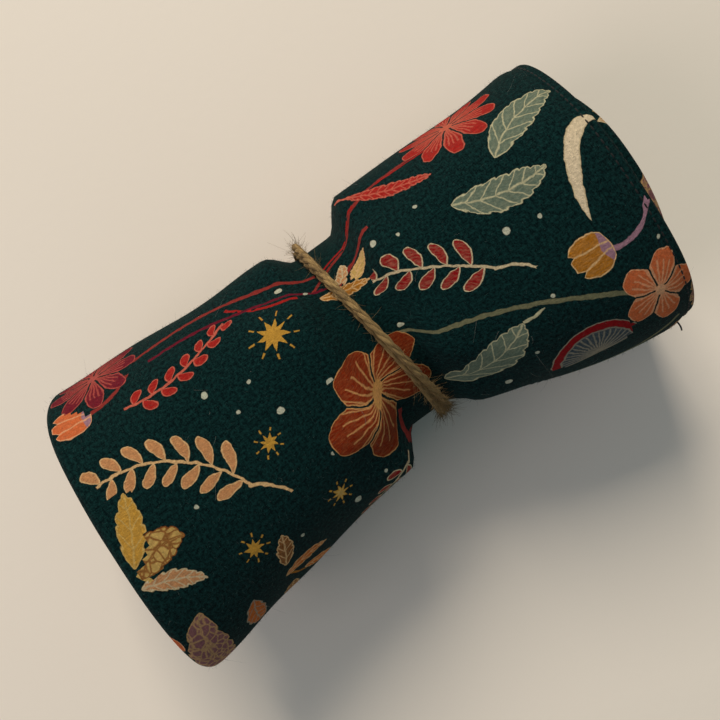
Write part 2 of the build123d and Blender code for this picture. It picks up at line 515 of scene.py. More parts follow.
# Each shape takes the distance s along the motif and t sideways from it in millimetres, its
# length, half width and number of parts, and gives three signals in millimetres: how far a
# place is inside its edge, its distance from the nearest vein, and how far it is inside the
# heart.

def draw_leaf(s, t, length, width, count):
    """Half width follows a bow, notched between its slanted side veins on s - 1.1 |t|."""
    pitch = length / count
    side_vein = stripe(s - abs(t) * 1.1, pitch)
    notch = greater(side_vein - pitch * 0.24, 0.0) * 0.5
    edge = lesser(width * bow(s / length, 0.75) - abs(t) - notch, lesser(s, length - s))
    return edge, lesser(abs(t), side_vein), lesser(edge, 0.0) - 1


def draw_sprig(s, t, length, width, count):
    """Slanted leaflets on a stalk, by turns left and right, shorter towards the tip.

    Each is a bow of (|t| / reach) ^ 1.5, so it is widest towards its outer end.
    """
    pitch = length / count
    shifted = s - abs(t) * 0.6 - pitch * 0.5 * work("GREATER_THAN", t, 0.0)
    gap = stripe(shifted + pitch * 0.5, pitch)
    reach = width * (1 - 0.35 * s / length)
    thick = pitch * 0.32 * bow((abs(t) / reach) ** 1.5, 0.6)
    leaflet = lesser(thick - gap, lesser(shifted, length - shifted))
    leaflet = lesser(leaflet, reach - abs(t))
    stalk = lesser(0.45 - abs(t), lesser(s, length * 1.04 - s))
    return greater(leaflet, stalk), abs(t), lesser(stalk, 0.0) - 1


def polar(s, t, length):
    """Distance and angle from the middle of a round motif."""
    off = s - length / 2
    return (off * off + t * t) ** 0.5, work("ARCTAN2", t, off)


def draw_flower(s, t, length, width, count):
    """Petals whose half width follows a bow of the radius, with rays, round a heart."""
    radius, angle = polar(s, t, length)
    cell = work("FRACT", angle * count / full_turn) - 0.5
    side = abs(cell) * radius / count * full_turn
    thick = width / count * 1.95 * bow(radius / width, 0.32)
    parting = (0.5 - abs(cell)) * radius / count * full_turn - 0.3
    petal = lesser(lesser(thick - side, parting), width - radius)
    ray = stripe(cell, 0.2) * radius / count * full_turn
    heart = width * 0.14 - radius
    return greater(petal, heart), greater(ray, radius - width * 0.72), heart


def draw_star(s, t, length, width, count):
    """Points from 0.5 to 1 of the body's radius, with a dash beyond each."""
    radius, angle = polar(s, t, length)
    cell = abs(work("FRACT", angle * count / full_turn) - 0.5)
    body = width * 0.66 * (0.5 + 0.5 * (1 - cell * 2) ** 1.6) - radius
    side = cell * radius / count * full_turn
    dash = lesser(0.3 - side, lesser(radius - width * 0.76, width - radius))
    return greater(body * 0.6, dash), radius + 1, lesser(body, 0.0) - 1


def draw_dot(s, t, length, width, count):
    """A round dot."""
    radius, _ = polar(s, t, length)
    return width - radius, radius + 1, radius * -1.0 - 1


def draw_crescent(s, t, length, width, count):
    """Between two bows on the same side of the line, the outer one wider, thickest near s = 0."""
    share = greater(s / length, 0.0) ** 0.6
    edge = lesser(width * bow(share, 0.7) - t, t - width * 0.58 * bow(share, 1.0))
    edge = lesser(edge, lesser(s, length - s))
    return edge, edge + 2, lesser(edge, 0.0) - 1


def draw_bud(s, t, length, width, count):
    """A fat bow of three petals, notched at the tip between them, and a calyx at its start."""
    half = width * bow(s / length, 0.34)
    border = abs(abs(t) - width * (0.14 + 0.3 * s / length))
    tip = length - s - greater(2.2 - border * 1.5, 0.0)
    edge = lesser(half - abs(t), lesser(s, tip))
    return edge, border, length * 0.26 - s - abs(t) * 0.3


def draw_fan(s, t, length, width, count):
    """Half a disc about the start, with ribs, a rim line and an outer band."""
    radius = (s * s + t * t) ** 0.5
    edge = lesser(length - radius, s + 0.5)
    rib = stripe(work("ARCTAN2", t, s), 0.17) * radius
    vein = greater(rib, radius - length * 0.74)
    return edge, lesser(vein, abs(radius - length * 0.78)), radius - length * 0.8


def draw_netted(s, t, length, width, count):
    """A leaf whose veins are the walls of cells."""
    edge, _, heart = draw_leaf(s, t, length, width, count)
    node = s.socket.id_data.nodes.new("ShaderNodeTexVoronoi")
    node.feature = "DISTANCE_TO_EDGE"
    node.inputs["Scale"].default_value = 0.32
    feed(node.inputs["Vector"], put_together(s, t * 1.3))
    return edge, lesser(Signal(node.outputs["Distance"]) * 3.1, abs(t)), heart


shapes = {LEAF: draw_leaf, SPRIG: draw_sprig, FLOWER: draw_flower, STAR: draw_star,
          DOT: draw_dot, CRESCENT: draw_crescent, BUD: draw_bud, FAN: draw_fan,
          NETTED: draw_netted}


# ======== print: where everything is drawn ========

def screen(red, green, blue):
    """A colour of the cloth from 0 to 255, made linear: (value / 255) ^ 2.2."""
    return tuple((value / 255) ** 2.2 for value in (red, green, blue))


cream, moon, pale = screen(214, 196, 156), screen(236, 216, 180), screen(196, 198, 174)
rust, rust_line, gold = screen(138, 42, 5), screen(214, 156, 96), screen(202, 152, 62)
brick, brick_line = screen(170, 34, 30), screen(206, 104, 84)
coral, coral_line, orange = screen(216, 106, 58), screen(236, 170, 124), screen(206, 104, 34)
sage, sage_line, stem_green = screen(102, 118, 102), screen(202, 196, 156), screen(122, 120, 90)
wine, wine_line = screen(112, 22, 42), screen(184, 84, 74)
crimson, tan, tan_line = screen(148, 14, 22), screen(206, 144, 94), screen(228, 186, 130)
plum, plum_line, lilac = screen(136, 88, 96), screen(196, 156, 106), screen(164, 124, 138)
ochre, slate, slate_line = screen(176, 112, 30), screen(62, 76, 86), screen(160, 150, 128)
umber, straw, maroon_stem = screen(140, 84, 40), screen(208, 172, 98), screen(146, 52, 46)


def round_motif(kind, middle, radius, count, fill, line, heart, turned=0.0):
    """A round motif as one that runs across its own middle, turned by some degrees."""
    reach = radius * np.array([np.cos(np.radians(turned)), np.sin(np.radians(turned))])
    start, end = np.array(middle) - reach, np.array(middle) + reach
    return kind, tuple(start), tuple(end), 0.0, radius, count, fill, line, heart


# kind, start and end (millimetres along +X, and round the roll from its ridge towards the
# loose edge), sideways bulge, half width, number of parts, and the three colours
motifs = [
    round_motif(FLOWER, (66, -52), 18.5, 10, brick, brick_line, coral, 12),
    round_motif(FLOWER, (-5, 24), 22.0, 5, rust, rust_line, gold, 4),
    round_motif(FLOWER, (88.5, 37), 13.5, 5, coral, coral_line, cream, 50),
    round_motif(FLOWER, (-80, -54), 17.0, 9, wine, wine_line, plum, 35),
    round_motif(STAR, (-21, -21), 8.8, 9, gold, gold, gold, 8),
    round_motif(STAR, (-42, 7), 5.0, 8, gold, gold, gold, 20),
    round_motif(STAR, (-66, 30), 5.4, 8, gold, gold, gold, 0),
    round_motif(STAR, (-34, 38), 5.0, 8, straw, gold, gold, 40),
    round_motif(STAR, (30, 66), 6.0, 8, gold, gold, gold, 15),
    (LEAF, (24, -50), (51, -34), 1.5, 2.7, 11, brick, brick_line, brick),
    (LEAF, (69, -24), (98, -34), -3.0, 6.4, 6, sage, sage_line, sage),
    (LEAF, (49, -21), (80, -13), 3.0, 5.4, 7, sage, sage_line, sage),
    (LEAF, (16, 42), (46, 24), 1.5, 7.2, 6, sage, sage_line, sage),
    (CRESCENT, (105, -14), (81, 7), 0.0, 11.8, 1, moon, cream, moon),
    (BUD, (82, 15), (68, 16), 0.0, 6.6, 1, ochre, tan_line, lilac),
    (FAN, (63, 52), (60, 36), 0.0, 15.0, 1, slate, slate_line, crimson),
    (SPRIG, (49, 4), (16, -17), 1.5, 9.5, 5, crimson, cream, crimson),
    (SPRIG, (-54, 14), (-92, -14), 7.5, 9.5, 7, tan, tan_line, tan),
    (SPRIG, (-74, -30), (-34, -36), 4.0, 5.2, 6, brick, brick_line, wine),
    (LEAF, (-2, -26), (15, -20), 1.0, 3.0, 5, ochre, tan_line, ochre),
    (LEAF, (10, -22), (19, -30), -1.0, 2.8, 5, straw, tan_line, ochre),
    (LEAF, (4, -24), (10, -34), 1.0, 2.4, 5, tan, cream, ochre),
    (BUD, (-84, -36), (-98, -38), 0.0, 5.8, 1, coral, coral_line, lilac),
    (LEAF, (-99, 10), (-88, -8), 1.0, 4.6, 4, gold, straw, gold),
    (NETTED, (-99, 14), (-80, 12), -3.0, 5.4, 4, straw, umber, straw),
    (LEAF, (-101, 16), (-83, 27), -1.5, 3.2, 6, tan, cream, tan),
    (NETTED, (-93, 34), (-99, 68), 4.0, 7.4, 5, plum, plum_line, plum),
    (LEAF, (-78, 46), (-82, 64), 1.5, 4.2, 5, orange, slate_line, sage),
    (LEAF, (-63, 46), (-57, 33), 0.5, 3.3, 4, umber, tan_line, ochre),
    (LEAF, (-60, 60), (-51, 73), -1.0, 3.4, 5, orange, tan_line, ochre),
    (LEAF, (-66, 62), (-71, 78), 1.0, 3.6, 5, umber, tan_line, ochre),
    (LEAF, (-66, 52), (-48, 55), -1.0, 3.0, 5, orange, tan_line, ochre),
    (SPRIG, (-8, 52), (-36, 72), 4.0, 6.0, 6, crimson, cream, crimson),
    (LEAF, (52, 72), (84, 66), 3.0, 5.4, 7, sage, sage_line, sage),
    (NETTED, (92, 62), (100, 84), 1.0, 5.0, 5, plum, plum_line, plum),
]

dots = [(-50, -18), (-36, -13), (-44, -7), (-33, 1), (26, -19), (30, -24), (22, -27), (45, 37),
        (69, -2), (58, -4), (80, -2), (-58, 4), (-12, -38), (-5, -31), (-28, 24), (-31, 47),
        (-26, 31), (-18, 47), (90, 5), (96, 22), (40, -6), (33, 50), (-72, 8), (-86, -46),
        (14, 8), (58, 20), (70, -10), (64, -40), (40, -28), (-52, 40), (-15, 4), (-48, -30)]
motifs += [round_motif(DOT, place, 0.75 + 0.5 * (i % 3 == 0), 1, pale, pale, pale)
           for i, place in enumerate(dots)]

# stems run below the motifs: start and end, bulge, half width, and one colour
stems = [
    ((8, 11), (80, 32), -4.0, 0.8, stem_green), ((46, 24), (54, 22), 0.5, 0.5, sage_line),
    ((52, -48), (-2, -31), 5.0, 0.6, maroon_stem), ((58, -46), (4, -38), 4.0, 0.5, brick),
    ((24, -34), (6, -26), 1.5, 0.7, maroon_stem), ((49, -34), (24, -50), -1.5, 0.4, brick_line),
    ((-66, -48), (0, -38), -3.0, 0.75, maroon_stem), ((-60, -42), (-2, -30), -2.0, 0.6, wine),
    ((-30, -42), (-10, -30), 2.0, 0.6, brick), ((82, 17), (96, 14), 1.5, 0.8, lilac),
    ((-84, -36), (-72, -40), 1.0, 0.7, maroon_stem), ((-55, 13), (-48, 19), -0.5, 0.5, tan_line),
    ((48, 3.5), (56, 7), -0.5, 0.45, cream), ((-99, 12), (-92, 22), 1.0, 0.8, straw),
    ((-64, 52), (-60, 62), 1.0, 0.5, ochre), ((30, 74), (88, 58), 4.0, 0.8, stem_green),
    ((-2, 42), (-4, 60), 2.0, 0.9, maroon_stem),
]

repeat_length = 156.0  # the design comes again round the roll after this length
repeat_width = 206.0  # and along the roll after this one
half_drop = 103.0  # every other repeat round the roll is shifted along it
motif_reach = 24.0  # no motif reaches further from its middle
straight_below = 0.05  # a spine that bulges less is straight
widest_gap = 5.0  # a face further from a motif than this has none


def spine(points, start, end, bulge):
    """Distance along and sideways from the circular arc whose middle bulges off its chord.

    With radius R = L^2 / 8b + b / 2 the arc's centre lies R - b behind the chord's middle;
    s = R x (angle from the arc's middle) + half the arc, t = distance from the centre - R.
    """
    start, end = np.array(start, float), np.array(end, float)
    chord = end - start
    length = np.linalg.norm(chord)
    along = chord / length
    off = points - start
    p, q = off @ along, off @ np.array([-along[1], along[0]])
    if abs(bulge) < straight_below:
        return p, q, length
    sign = np.sign(bulge)
    radius = length ** 2 / (8 * abs(bulge)) + abs(bulge) / 2
    across, out = p - length / 2, sign * (q - bulge) + radius
    half = radius * np.arcsin(length / 2 / radius)
    s = radius * np.arctan2(across, out) + half
    t = sign * (np.hypot(across, out) - radius)
    return s, t, 2 * half


def repeats(middle, low, high):
    """The shifts that bring a motif into the cloth's part between two corners."""
    found = []
    for row in range(-1, 6):
        for column in range(-3, 2):
            shift = np.array([repeat_width * column + half_drop * (row % 2),
                              -repeat_length * row])
            place = middle + shift
            if np.all(place > low - motif_reach) and np.all(place < high + motif_reach):
                found.append(shift)
    return found


def nearest(corners, layout):
    """For each face the motif whose shape is nearest, and its corners' places in that motif.

    corners holds the map's places of each face's corners.  The gap to a motif is the distance
    from its spine less its half width, which narrows to 0.4 of it at both ends.  Where two
    motifs cover a place, the first in the list has it.  Returns the motif's number, or -1, and
    s, t, length.
    """
    middles = corners.mean(axis=1)
    low, high = middles.min(axis=0), middles.max(axis=0)
    gap = np.full(len(middles), widest_gap)
    chosen = np.full(len(middles), -1)
    places = np.zeros((*corners.shape[:2], 3))
    for number, (start, end, bulge, width) in enumerate(layout):
        middle = (np.array(start) + np.array(end)) / 2
        reach = np.linalg.norm(np.array(end) - middle) + width + 6
        for shift in repeats(middle, low, high):
            near = np.nonzero(np.all(np.abs(middles - middle - shift) < reach, axis=1))[0]
            s, t, length = spine(middles[near] - shift, start, end, bulge)
            beyond = np.maximum(np.maximum(-s, s - length), 0)
            ends = np.minimum(np.clip(s, 0, length), np.clip(length - s, 0, length))
            taper = width * np.minimum(1, 0.4 + ends / (0.5 * length))
            away = np.hypot(beyond, np.maximum(np.abs(t) - taper, 0))
            away -= np.where(away > 0, 0, 0.1)
            better = away < gap[near]
            taken = near[better]
            gap[taken] = away[better]
            chosen[taken] = number
            s, t, length = spine(corners[taken] - shift, start, end, bulge)
            places[taken] = np.stack(np.broadcast_arrays(s, t, length), axis=-1)
    return chosen, places


def draw_print(piece, corners):
    """Write the print's layout on a piece's corners as attributes, which the ink reads."""
    chosen, places = nearest(corners, [(m[1], m[2], m[3], m[4]) for m in motifs])
    drawn = (chosen >= 0)[:, None, None]
    facts = np.array([(m[0], m[4], m[5]) for m in motifs])[chosen][:, None] * drawn
    add_attribute(piece, "motif_place", places)
    add_attribute(piece, "motif_kind", np.broadcast_to(facts, places.shape))
    for name, part in (("motif_fill", 6), ("motif_line", 7), ("motif_heart", 8)):
        colours = np.array([m[part] for m in motifs])[chosen][:, None] * drawn
        add_attribute(piece, name, np.broadcast_to(colours, places.shape), colour=True)
    chosen, places = nearest(corners, [stem[:4] for stem in stems])
    drawn = (chosen >= 0)[:, None, None]
    widths = np.array([stem[3] for stem in stems])[chosen][:, None] * drawn[:, :, 0]
    facts = np.stack([places[..., 0], places[..., 1], np.broadcast_to(widths, places.shape[:2])],
                     axis=-1)
    add_attribute(piece, "stem_place", facts)
    colours = np.array([stem[4] for stem in stems])[chosen][:, None] * drawn
    add_attribute(piece, "stem_fill", np.broadcast_to(colours, places.shape), colour=True)


# ======== shared effects ========

def make_ink_group():
    """The print: the drawn shapes in their colours, and a mask of where there is any ink.

    The chosen shape's three distances are picked by its number.  A shape is filled inside its
    edge, outlined within 0.45 mm of it, and veined within 0.28 mm of a vein.
    """
    tree, _, end = new_group("botanical_ink", {}, {"Color": "Color", "Ink": "Float"})
    place = cloth_place(tree)
    wobble = (noise(place, 0.22, 2.0) - 0.5) * 1.5
    sway = (noise(place, 0.31, 2.0) - 0.5) * 1.5
    s, t, length = split_up(Signal(read(tree, "motif_place").outputs["Vector"]))
    kind, width, count = split_up(Signal(read(tree, "motif_kind").outputs["Vector"]))
    s, t = s + wobble, t + sway
    edge = vein = heart = -5.0
    for number, draw in shapes.items():
        chosen = work("COMPARE", kind, number, 0.5)
        found = draw(s, t, length, width, count)
        edge, vein, heart = (total + chosen * (work("MINIMUM", part, 40.0) + 5.0)
                             for total, part in zip((edge, vein, heart), found))
    stem_s, stem_t, stem_width = split_up(Signal(read(tree, "stem_place").outputs["Vector"]))
    stem_edge = stem_width - abs(stem_t + sway)
    stem_ink = within(lesser(stem_edge, stem_s * 8.0 + 1.0)) * work("GREATER_THAN", stem_width,
                                                                    0.01)
    streaks = noise(put_together(s * 0.5, t * 2.2), 0.7, 3.0, 0.6)
    fill = Signal(read(tree, "motif_fill").outputs["Color"])
    line = Signal(read(tree, "motif_line").outputs["Color"])
    core = Signal(read(tree, "motif_heart").outputs["Color"])
    stem = Signal(read(tree, "stem_fill").outputs["Color"])
    shaded = blend(within(streaks - 0.58, 0.4) * 0.24, fill, line)
    ink = within(edge)
    drawn = blend(within(heart), shaded, core)
    lines = greater(within(0.45 - edge), within(0.28 - vein, 0.3) * 0.85)
    drawn = blend(lines, drawn, line)
    feed(end.inputs["Color"], blend(ink, stem, drawn))
    feed(end.inputs["Ink"], greater(ink, stem_ink))
    return tree


def make_weave_group():
    """A twill's height and its light and dark threads, from the piece's own map.

    Two sets of threads run crosswise; which of them is on top follows a diagonal stripe.
    """
    tree, start, end = new_group("woven_threads", {"Pitch": 0.7, "Nap": 0.5},
                                 {"Height": "Float", "Thread": "Float"})
    pitch, nap = (Signal(start.outputs[label]) for label in ("Pitch", "Nap"))
    place = cloth_place(tree)
    u, v, _ = split_up(place)
    warp, weft = stripe(u, pitch) / pitch, stripe(v, pitch) / pitch
    over = within(stripe(u + v, pitch * 2) - pitch * 0.5, 0.4)
    threads = warp * over + weft * (1 - over)
    fluff = noise(place, 1.9, 4.0, 0.65)
    feed(end.inputs["Height"], threads * (1 - nap) + fluff * nap * 1.6)
    feed(end.inputs["Thread"], threads * (1 - nap) * 1.4 + fluff * nap)
    return tree


def make_fibre_group():
    """Fine streaks along a strand, from the piece's own map: height and tone."""
    tree, start, end = new_group("strand_fibres", {"Lay": 1.0},
                                 {"Height": "Float", "Tone": "Float"})
    u, v, _ = split_up(cloth_place(tree))
    twisted = v * 9.0 + u * Signal(start.outputs["Lay"]) * 0.35
    streaks = noise(put_together(u * 0.16, twisted), 1.6, 3.0, 0.7)
    patches = noise(put_together(u, v), 0.16, 2.0)
    feed(end.inputs["Height"], streaks)
    feed(end.inputs["Tone"], streaks * 0.65 + patches * 0.35)
    return tree


ink_group = make_ink_group()
weave_group = make_weave_group()
fibre_group = make_fibre_group()


# ======== materials ========

def new_material(name, roughness, sheen=0.0, specular=0.3):
    """A material with its Principled shader, on which the even values are set."""
    material = bpy.data.materials.new(name)
    material.use_nodes = True
    shader = material.node_tree.nodes["Principled BSDF"]
    shader.inputs["Roughness"].default_value = roughness
    shader.inputs["Sheen Weight"].default_value = sheen
    shader.inputs["Sheen Roughness"].default_value = 0.45
    shader.inputs["Specular IOR Level"].default_value = specular
    return material, material.node_tree, shader


def add_bump(tree, shader, height, depth):
    """Bump from a height signal, with its depth in millimetres."""
    bump = tree.nodes.new("ShaderNodeBump")
    bump.inputs["Strength"].default_value = 1.0
    bump.inputs["Distance"].default_value = depth * mm
    feed(bump.inputs["Height"], height)
    tree.links.new(bump.outputs["Normal"], shader.inputs["Normal"])


def make_flannel():
    """Brushed cotton: dark teal ground, the printed design, a soft nap and faint wear."""
    material, tree, shader = new_material("printed_flannel", 0.95, sheen=0.02,
                                          specular=0.04)
    weave = place_group(tree, weave_group, Pitch=0.75, Nap=0.55)
    thread, height = (Signal(weave.outputs[label]) for label in ("Thread", "Height"))
    ink = place_group(tree, ink_group)
    place = cloth_place(tree)
    patches = noise(place, 0.05, 4.0, 0.6)
    grain = work("MULTIPLY_ADD", noise(place, 0.85, 4.0, 0.8), 4.2, -1.75, clamped=True)
    ground = blend(patches, teal_dark, teal_light)
    ground = blend(grain * 0.68, ground, teal_nap)
    ground = blend(within(thread - 0.66, 0.5) * 0.5, ground, teal_nap)
    colour = blend(Signal(ink.outputs["Ink"]) * (grain * 0.32 + 0.66), ground,
                   Signal(ink.outputs["Color"]))
    feed(shader.inputs["Base Color"], colour)
    feed(shader.inputs["Roughness"], thread * 0.12 + 0.86)
    add_bump(tree, shader, height + grain * 0.5, 0.30)
    return material


def make_woven(name, dark, light, pitch, nap, depth):
    """A plain cloth in two tones."""
    material, tree, shader = new_material(name, 0.9, sheen=0.15, specular=0.25)
    weave = place_group(tree, weave_group, Pitch=pitch, Nap=nap)
    thread = Signal(weave.outputs["Thread"])
    tone = thread * 0.7 + noise(cloth_place(tree), 0.07, 3.0) * 0.3
    feed(shader.inputs["Base Color"], blend(tone, dark, light))
    feed(shader.inputs["Roughness"], thread * 0.15 + 0.8)
    add_bump(tree, shader, Signal(weave.outputs["Height"]), depth)
    return material


def make_strand(name, dark, light, lay, depth, sheen):
    """Twine or thread: streaks of fibre in two tones along the strand."""
    material, tree, shader = new_material(name, 0.75, sheen, specular=0.35)
    fibres = place_group(tree, fibre_group, Lay=lay)
    tone = Signal(fibres.outputs["Tone"])
    feed(shader.inputs["Base Color"], blend(work("MULTIPLY_ADD", tone, 3.4, -1.25, clamped=True),
                                            dark, light))
    feed(shader.inputs["Roughness"], tone * 0.3 + 0.6)
    add_bump(tree, shader, Signal(fibres.outputs["Height"]), depth)
    return material


teal_dark = (0.0002, 0.0030, 0.0040)
teal_light = (0.0008, 0.0075, 0.0085)
teal_nap = (0.0085, 0.0500, 0.0470)

flannel = make_flannel()
lining_cotton = make_woven("lining_cotton", (0.012, 0.05, 0.05), (0.03, 0.10, 0.095),
                           pitch=0.5, nap=0.25, depth=0.10)
wadding = make_woven("wadding", (0.55, 0.52, 0.45), (0.80, 0.77, 0.70),
                     pitch=1.6, nap=0.9, depth=0.5)
jute = make_strand("jute_twine", (0.055, 0.028, 0.009), (0.54, 0.36, 0.135),
                   lay=1.0, depth=0.28, sheen=0.03)
sewing_thread = make_strand("sewing_thread", (0.001, 0.002, 0.002), (0.010, 0.012, 0.012),
                            lay=0.6, depth=0.04, sheen=0.05)


# ======== cloth pieces ========

def spaced(start, end, step):
    """Even places from start to end, about a step apart, both ends included."""
    return np.linspace(start, end, max(2, int(round(abs(end - start) / step)) + 1))


edge_radius = 1.6  # half the thickness of the sewn edge
seam_taper = 8.0  # the padding thins out this far from the sewn edge
edge_turns = 0.0050  # the loose edge rounds off over this part of a turn
back_turns = 0.0035  # and its back starts this much later
stitch_x = right_end - topstitch_inset
fold_middle = pocket_face / 2  # depth of the folded end's nose
seam_middle = lining_face / 2
quarter = np.radians(spaced(0, 90, 22.5))


def seam_dip(along):
    """Depth of the faces near the sewn end: they close towards it, and dip at the stitches."""
    rise = smooth_step((along - right_end + edge_radius + seam_taper) / seam_taper)
    return rise * (seam_middle - edge_radius) \
        + 0.55 * np.exp(-((along - stitch_x) / 1.1) ** 2)


def outer_profile(thickness):
    """The outer panel across the roll: fold nose, straight run and sewn edge.

    Returns five rows: along and depth of the face, along and depth of its back, and the map's
    place, which goes on by arc length round the nose.  The nose is most of a half circle of
    the cloth's half thickness, and the sewn edge is a quarter circle.
    """
    round_fold = np.radians(spaced(104, 0, 13))
    run = spaced(left_end + fold_middle, right_end - edge_radius, 2.15)[1:-1]
    face_along = [left_end + fold_middle * (1 - np.sin(round_fold)), run,
                  right_end - edge_radius * (1 - np.sin(quarter))]
    face_depth = [fold_middle * (1 - np.cos(round_fold)), seam_dip(run),
                  seam_middle - edge_radius * np.cos(quarter)]
    inner_fold, inner_edge = fold_middle - thickness, edge_radius - thickness
    back_along = [left_end + fold_middle - inner_fold * np.sin(round_fold), run,
                  right_end - edge_radius + inner_edge * np.sin(quarter)]
    back_depth = [fold_middle - inner_fold * np.cos(round_fold), seam_dip(run) + thickness,
                  seam_middle - inner_edge * np.cos(quarter)]
    place = [left_end + fold_middle * (1 - round_fold), run,
             right_end - edge_radius * (1 - quarter)]
    return [np.concatenate(part) for part in
            (face_along, face_depth, back_along, back_depth, place)]


def edge_rows(turn, radius_turns):
    """Rows that close a panel's loose edge: turn, and the share of the way to mid-depth."""
    first = turn[0] + radius_turns * (1 - np.sin(quarter[::-1]))
    share = 1 - np.cos(quarter[::-1])
    later = turn[turn > turn[0] + radius_turns * 1.2]
    return np.concatenate([first, later]), np.concatenate([share, np.zeros(len(later))])


def sheet_piece(name, material, profile, turn, middle):
    """A rolled sheet of cloth from its profile across the roll.

    Its rows are places round the roll; the loose edge closes to the middle depth.
    """
    face_along, face_depth, back_along, back_depth, place = profile
    rows, share = edge_rows(turn, edge_turns)
    rows, share = rows[:, None], share[:, None]
    face = cloth_points(face_along, rows, face_depth + share * (middle - face_depth))
    back_rows = np.maximum(rows, rows[0, 0] + back_turns)
    back = cloth_points(back_along, back_rows, back_depth + share * (middle - back_depth))
    points, faces = shell(face, back)
    steps = np.linalg.norm(np.diff(face, axis=0), axis=-1)
    arc = np.concatenate([np.zeros((1, face.shape[1])), np.cumsum(steps, axis=0)])
    arc = arc.mean(axis=1, keepdims=True)
    ridge = arc[np.argmin(np.abs(rows[:, 0] - ridge_turn))]
    along = place * stretch(rows) + drift(rows)
    surface = np.stack(np.broadcast_arrays(along, ridge - arc), axis=-1)
    surface = np.tile(surface.reshape(-1, 2), (2, 1))
    piece = make_piece(name, points, faces, material, surface)
    return piece, surface[faces]


def plain_profile(start, end, step, face, back):
    """A layer with an even face and back depth: face and back rows, and the map's place."""
    run = spaced(start, end, step)
    return [run, np.full(len(run), face), run, np.full(len(run), back), run]


# ---- printed panel: outer face, folded end and sewn end ----
outer_turns = np.concatenate([spaced(0, 1.12, 0.0051), spaced(1.12, 2.2, 0.011)[1:],
                              spaced(2.2, turns, 0.0145)[1:]])
outer_cloth, corners = sheet_piece("outer_cloth", flannel, outer_profile(outer_thickness),
                                   outer_turns, seam_middle)
draw_print(outer_cloth, corners)
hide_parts("outer_panel")

# ---- lining, whose sewn end closes towards the printed panel's ----
run = spaced(left_end + 1.5, right_end - edge_radius, 3.4)[:-1]
lift = seam_dip(run)
lining_profile = [
    np.concatenate([run, right_end - edge_radius * (1 - np.sin(quarter))]),
    np.concatenate([lining_face - lift, seam_middle + edge_radius * np.cos(quarter)]),
    np.concatenate([run, right_end - edge_radius * (1 - 0.4 * np.sin(quarter))]),
    np.concatenate([lining_depth - lift, seam_middle + 0.4 * edge_radius * np.cos(quarter)]),
    np.concatenate([run, right_end - edge_radius * (1 - quarter)])]
lining_cloth, _ = sheet_piece("lining_cloth", lining_cotton, lining_profile,
                              spaced(0, turns, 0.0125), seam_middle)
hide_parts("lining_panel")

# ---- pocket: the same cloth turned up over the lining, from the folded end ----
turned_up = np.radians(spaced(96, 180, 14))
inset = 0.25 * (1 - smooth_step((turned_up - turned_up[0]) / 0.3))
run = spaced(left_end + fold_middle, pocket_mouth, 3.0)[1:]
inner_fold = fold_middle - pocket_thickness
pocket_profile = [
    np.concatenate([left_end + fold_middle - (fold_middle - inset) * np.sin(turned_up), run]),
    np.concatenate([fold_middle - (fold_middle - inset) * np.cos(turned_up),
                    np.full(len(run), pocket_face)]),
    np.concatenate([left_end + fold_middle - inner_fold * np.sin(turned_up), run]),
    np.concatenate([fold_middle - inner_fold * np.cos(turned_up),
                    np.full(len(run), pocket_depth)]),
    np.concatenate([left_end + fold_middle * (1 - turned_up),
                    2 * left_end + fold_middle * (2 - np.pi) - run])]
pocket_cloth, corners = sheet_piece("pocket_cloth", flannel, pocket_profile,
                                    spaced(pocket_first_turn, turns, 0.0125), pocket_depth)
draw_print(pocket_cloth, corners)
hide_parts("pocket_panel")

# ---- the pocket's hem, folded to its inner side ----
hem_cloth, corners = sheet_piece(
    "hem_cloth", flannel, plain_profile(pocket_mouth - hem_width, pocket_mouth + 0.4, 2.4,
                                        pocket_face + 0.95, pocket_face + 0.15),
    spaced(pocket_first_turn, turns, 0.0125), pocket_face + 0.5)
draw_print(hem_cloth, corners)
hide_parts("pocket_hem")

# ---- padding, between the panels ----
wadding_profile = plain_profile(left_end + 6.5, right_end - 9.5, 5.0, padding_depth + 0.35,
                                padding_depth + padding_thickness - 0.3)
face_along, face_depth, back_along, back_depth, _ = wadding_profile
rows = np.concatenate([spaced(0.05, 1.12, 0.011), spaced(1.12, turns - 0.03, 0.018)[1:]])[:, None]
face = cloth_points(face_along, rows, face_depth)
back = cloth_points(back_along, rows, back_depth)
points, faces = shell(face, back)
round_length = 250.0  # of a turn, in the padding's map
padding_map = np.stack(np.broadcast_arrays(face_along, rows * round_length), axis=-1)
padding_map = padding_map.reshape(-1, 2)
padding = make_piece("padding_layer", points, faces, wadding, np.tile(padding_map, (2, 1)))
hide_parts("padding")


# ======== stitches ========

stitch_pitch = 2.7
stitch_length = 2.25
stitch_radius = 0.33


def from_axis(points):
    """Unit directions away from the waist's axis."""
    out = points - waist
    out[..., 0] = 0
    return out / np.maximum(np.linalg.norm(out, axis=-1, keepdims=True), 1e-9)


def stitch_lines(path, out, pitch, length):
    """Lines of separate stitches along a path: each rises 0.3 mm between two sunk ends.

    The height is 0.5 x (4 u (1 - u)) ^ 0.6 - 0.18 over the stitch's length u.
    """
    steps = np.linalg.norm(np.diff(path, axis=0), axis=-1)
    arc = np.concatenate([[0], np.cumsum(steps)])
    starts = np.arange(pitch / 2, arc[-1] - length, pitch)
    share = np.linspace(0, 1, 6)
    places = starts[:, None] + share * length
    lines = np.stack([np.interp(places, arc, path[:, i]) for i in range(3)], axis=-1)
    away = np.stack([np.interp(places, arc, out[:, i]) for i in range(3)], axis=-1)
    height = 0.5 * (4 * share * (1 - share)) ** 0.6 - 0.18
    return lines + away * height[:, None], away


